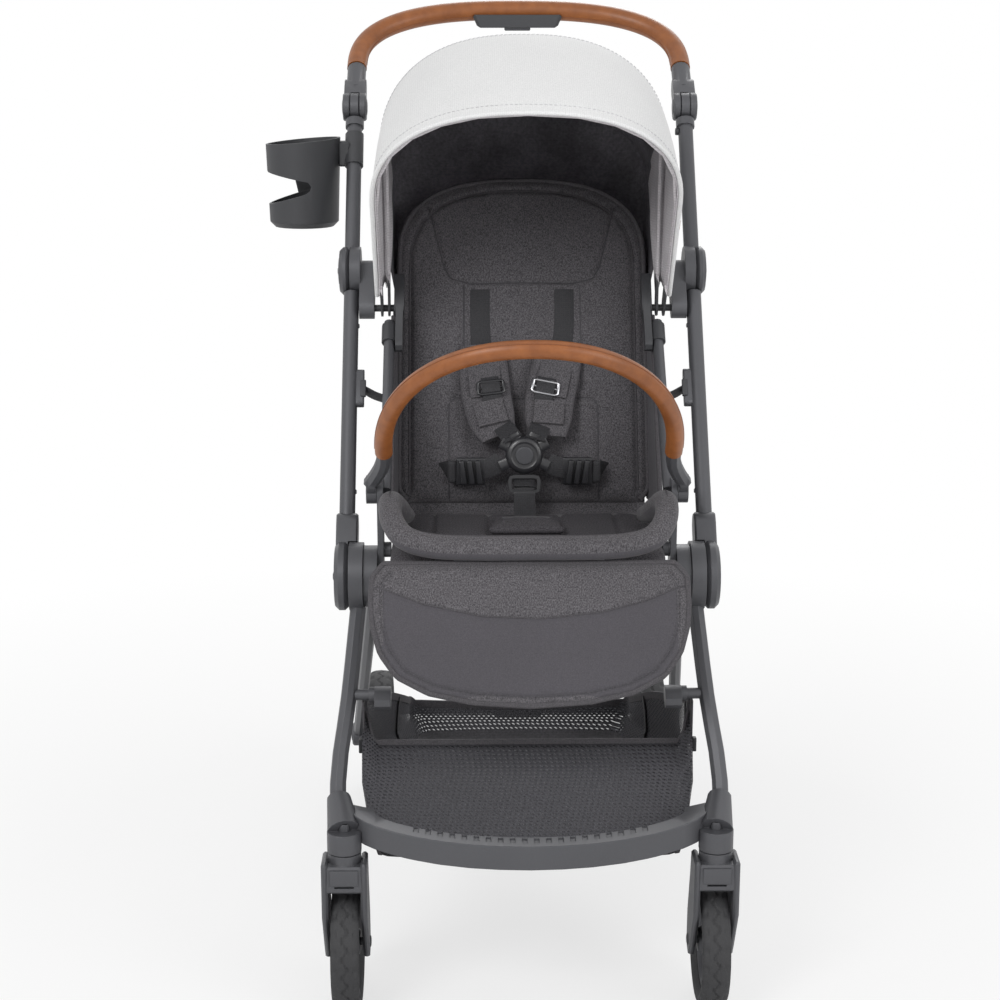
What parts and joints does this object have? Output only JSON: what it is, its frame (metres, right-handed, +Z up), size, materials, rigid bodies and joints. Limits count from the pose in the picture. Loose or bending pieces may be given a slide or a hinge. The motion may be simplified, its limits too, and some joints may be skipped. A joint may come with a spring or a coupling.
{
  "type": "compact stroller",
  "caption": "Compact folding stroller with canopy, tan leather handle and bumper bar, reclining seat, leg rest, basket and cup holder.",
  "frame": {"origin": "on the floor, at the middle of the part's bounding box", "axes": "+Z up, -Y the way the child faces and the stroller rolls, +X towards the right of someone who looks at its front; the cup holder is at -X"},
  "size_m": [0.5172, 0.7634, 1.039],
  "materials": {
    "satin": "satin dark grey powder coat",
    "plastic": "moulded matt black",
    "leather": "stitched tan leather",
    "knit": "pale grey knit",
    "heather": "charcoal heather cloth",
    "mesh": "dark open mesh",
    "rubber": "matt grey rubber",
    "steel": "bright steel",
    "webbing": "black woven webbing"
  },
  "bodies": {
    "front_frame": {"front_leg_left": "satin", "front_leg_right": "satin", "stem_housing_left": "satin", "stem_housing_right": "satin", "front_bar": "satin", "basket": "mesh"},
    "castor_left": {"fork_left": "satin"},
    "front_wheel_left": {"front_tyre_left": "rubber", "front_hub_left": "satin"},
    "castor_right": {"fork_right": "satin"},
    "front_wheel_right": {"front_tyre_right": "rubber", "front_hub_right": "satin"},
    "rear_frame": {"rear_leg_left": "satin", "rear_leg_right": "satin", "rear_cross_tube": "satin", "rear_axle": "steel"},
    "rear_wheel_left": {"rear_tyre_left": "rubber", "rear_hub_left": "satin"},
    "rear_wheel_right": {"rear_tyre_right": "rubber", "rear_hub_right": "satin"},
    "brake_pedal": {"brake_lever": "plastic"},
    "push_frame": {"middle_tube_left": "satin", "middle_tube_right": "satin", "hub_pod_left": "satin", "hub_pod_right": "satin", "seat_arm_left": "satin", "seat_arm_right": "satin", "seat_side_left": "satin", "seat_side_right": "satin", "canopy_clip_left": "plastic", "canopy_clip_right": "plastic", "canopy_rear_panel": "knit", "seat_pan": "heather", "seat_rim": "heather", "leg_rest_hinge": "steel", "seat_back_hinge": "steel", "buckle_body": "plastic"},
    "buckle_button": {"buckle_release": "satin"},
    "seat_back": {"seat_back_pad": "heather", "seat_back_tube": "satin", "shoulder_strap_left": "webbing", "shoulder_strap_right": "webbing"},
    "leg_rest": {"leg_rest": "heather"},
    "bumper": {"bumper_grip": "leather", "bumper_arm_left": "satin", "bumper_arm_right": "satin"},
    "canopy_front": {"canopy_front_panel": "knit", "canopy_front_bow": "plastic"},
    "canopy_middle": {"canopy_middle_panel": "knit", "canopy_middle_bow": "plastic"},
    "handle_frame": {"top_tube_left": "satin", "top_tube_right": "satin", "cup_holder": "plastic"},
    "lock_button": {"side_lock_button": "plastic"},
    "handle_bar": {"handle_grip": "leather", "handle_yoke_left": "satin", "handle_yoke_right": "satin", "release_housing": "plastic"},
    "fold_button": {"fold_release_key": "satin"}
  },
  "joints": [
    {"name": "fold", "type": "hinge", "parent": "front_frame", "child": "push_frame", "pos_m": [0.04025, -0.17331, 0.435], "axis": [-1, 0, 0], "range_deg": [0, 125]},
    {"name": "rear_fold", "type": "hinge", "parent": "front_frame", "child": "rear_frame", "pos_m": [0.04025, -0.17331, 0.435], "axis": [-1, 0, 0], "range_deg": [0, 60], "deforming": ["basket"]},
    {"name": "handle_fold", "type": "hinge", "parent": "push_frame", "child": "handle_frame", "pos_m": [0.04025, 0.03891, 0.73809], "axis": [1, 0, 0], "range_deg": [0, 145]},
    {"name": "bumper_fold", "type": "hinge", "parent": "push_frame", "child": "bumper", "pos_m": [0.04025, -0.17831, 0.53], "axis": [-1, 0, 0], "range_deg": [0, 35]},
    {"name": "recline", "type": "hinge", "parent": "push_frame", "child": "seat_back", "pos_m": [0.04025, -0.03731, 0.462], "axis": [1, 0, 0], "range_deg": [-60, 0]},
    {"name": "leg_rest_lift", "type": "hinge", "parent": "push_frame", "child": "leg_rest", "pos_m": [0.04025, -0.27331, 0.4685], "axis": [1, 0, 0], "range_deg": [-60, 0]},
    {"name": "canopy_close", "type": "hinge", "parent": "push_frame", "child": "canopy_front", "pos_m": [0.04025, 0.00669, 0.7], "axis": [-1, 0, 0], "range_deg": [0, 62]},
    {"name": "canopy_middle_close", "type": "hinge", "parent": "push_frame", "child": "canopy_middle", "pos_m": [0.04025, 0.00669, 0.7], "axis": [-1, 0, 0], "range_deg": [0, 31]},
    {"name": "handle_tilt", "type": "hinge", "parent": "handle_frame", "child": "handle_bar", "pos_m": [0.04025, 0.16395, 0.91666], "axis": [1, 0, 0], "range_deg": [-40, 30]},
    {"name": "castor_swivel_left", "type": "hinge", "parent": "front_frame", "child": "castor_left", "pos_m": [-0.15175, -0.33331, 0.186], "axis": [0, 0, 1], "continuous": true},
    {"name": "front_wheel_spin_left", "type": "hinge", "parent": "castor_left", "child": "front_wheel_left", "pos_m": [-0.15175, -0.30331, 0.07], "axis": [1, 0, 0], "continuous": true},
    {"name": "rear_wheel_spin_left", "type": "hinge", "parent": "rear_frame", "child": "rear_wheel_left", "pos_m": [-0.13975, 0.29669, 0.085], "axis": [1, 0, 0], "continuous": true},
    {"name": "castor_swivel_right", "type": "hinge", "parent": "front_frame", "child": "castor_right", "pos_m": [0.23225, -0.33331, 0.186], "axis": [0, 0, 1], "continuous": true},
    {"name": "front_wheel_spin_right", "type": "hinge", "parent": "castor_right", "child": "front_wheel_right", "pos_m": [0.23225, -0.30331, 0.07], "axis": [1, 0, 0], "continuous": true},
    {"name": "rear_wheel_spin_right", "type": "hinge", "parent": "rear_frame", "child": "rear_wheel_right", "pos_m": [0.22025, 0.29669, 0.085], "axis": [1, 0, 0], "continuous": true},
    {"name": "brake_press", "type": "hinge", "parent": "rear_frame", "child": "brake_pedal", "pos_m": [0.04025, 0.20365, 0.15429], "axis": [-1, 0, 0], "range_deg": [0, 22]},
    {"name": "fold_release", "type": "slide", "parent": "handle_bar", "child": "fold_button", "axis": [0, 0, 1], "range_m": [0, 0.002], "stiffness_N_per_m": 400},
    {"name": "side_lock", "type": "slide", "parent": "handle_frame", "child": "lock_button", "axis": [1, 0, 0], "range_m": [0, 0.002], "stiffness_N_per_m": 400},
    {"name": "buckle_press", "type": "slide", "parent": "push_frame", "child": "buckle_button", "axis": [0, 1, 0], "range_m": [0, 0.0018], "stiffness_N_per_m": 400}
  ],
  "couplings": [
    {"joint": "rear_fold", "follows": "fold", "ratio": 0.48},
    {"joint": "handle_fold", "follows": "fold", "ratio": 1.16},
    {"joint": "bumper_fold", "follows": "fold", "ratio": 0.28},
    {"joint": "canopy_middle_close", "follows": "canopy_close", "ratio": 0.5}
  ]
}
